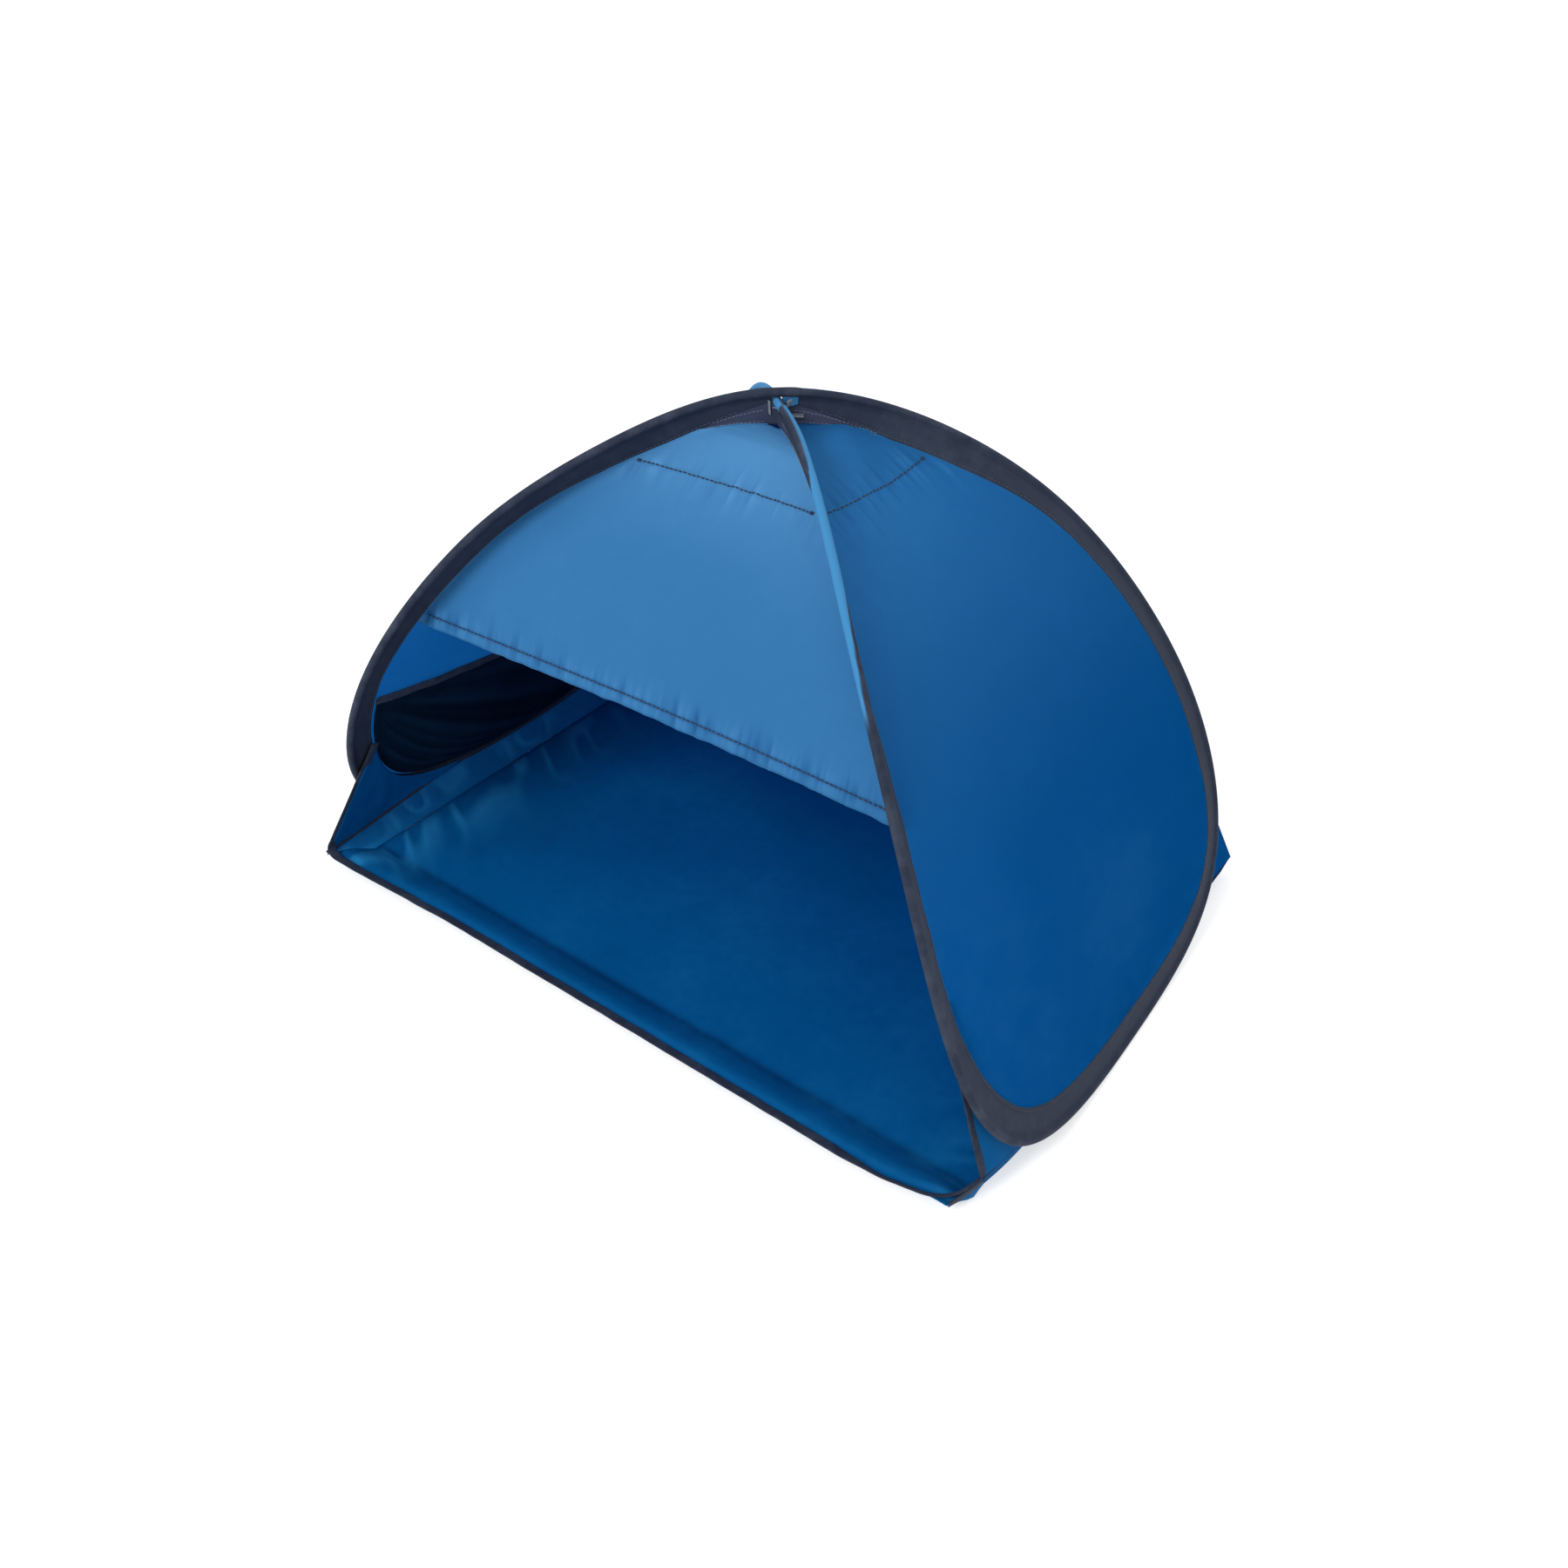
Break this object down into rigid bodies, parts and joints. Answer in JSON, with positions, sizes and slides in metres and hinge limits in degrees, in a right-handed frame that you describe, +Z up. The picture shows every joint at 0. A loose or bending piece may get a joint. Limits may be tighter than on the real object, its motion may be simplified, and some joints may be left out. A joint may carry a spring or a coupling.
{
  "type": "beach tent",
  "caption": "Small pop-up head and shoulder tent: two leaf-shaped wire-framed sides that cross at the crown, with a front canopy, back panel, floor, corner gussets and an inner pocket.",
  "frame": {"origin": "on the ground, under the middle of the tent's overall size", "axes": "+X to the right seen from the front, +Y to the back, +Z up; the open front faces -Y"},
  "size_m": [0.6998, 0.4806, 0.448],
  "materials": {
    "spring_wire": "drawn spring steel",
    "ferrule_metal": "crimped tube",
    "charcoal_tape": "dark charcoal woven tape, matt",
    "side_cloth": "deep blue coated polyester, low sheen",
    "canopy_cloth": "light blue coated polyester, low sheen",
    "floor_cloth": "deep blue coated polyester, low sheen",
    "pocket_cloth": "dark charcoal woven cloth, matt"
  },
  "bodies": {
    "right_foot": {"right_floor_side": "floor_cloth", "right_floor_binding": "charcoal_tape"},
    "right_side": {"right_side_wire": "spring_wire", "wire_ferrule": "ferrule_metal", "right_side_tape": "charcoal_tape", "right_side_panel": "side_cloth", "right_crown_facing": "side_cloth", "right_front_gusset": "floor_cloth", "right_back_gusset": "side_cloth", "front_canopy": "canopy_cloth", "canopy_hem": "canopy_cloth", "front_crown_facing": "canopy_cloth", "back_panel": "side_cloth", "back_crown_facing": "side_cloth", "floor_sheet": "floor_cloth", "front_binding": "charcoal_tape", "crown_web": "charcoal_tape", "crossing_tie": "canopy_cloth"},
    "left_side": {"left_side_wire": "spring_wire", "left_side_tape": "charcoal_tape", "left_side_panel": "side_cloth", "left_crown_facing": "side_cloth", "left_front_gusset": "floor_cloth", "left_back_gusset": "side_cloth", "left_floor_side": "floor_cloth", "left_floor_binding": "charcoal_tape", "side_pocket": "pocket_cloth", "pocket_binding": "charcoal_tape"}
  },
  "joints": [
    {"name": "right_side_tip", "type": "hinge", "parent": "right_foot", "child": "right_side", "pos_m": [0.3468, 0, 0.0032], "axis": [0, 1, 0], "range_deg": [0, 30]},
    {"name": "side_fold", "type": "hinge", "parent": "right_side", "child": "left_side", "pos_m": [0, 0, 0.4403], "axis": [0, -1, 0], "range_deg": [0, 60], "stiffness_Nm_per_rad": 0.2, "deforming": ["front_canopy", "canopy_hem", "front_crown_facing", "back_panel", "back_crown_facing", "floor_sheet", "front_binding", "crown_web", "crossing_tie"]}
  ],
  "couplings": [
    {"joint": "right_side_tip", "follows": "side_fold", "ratio": 0.5}
  ]
}
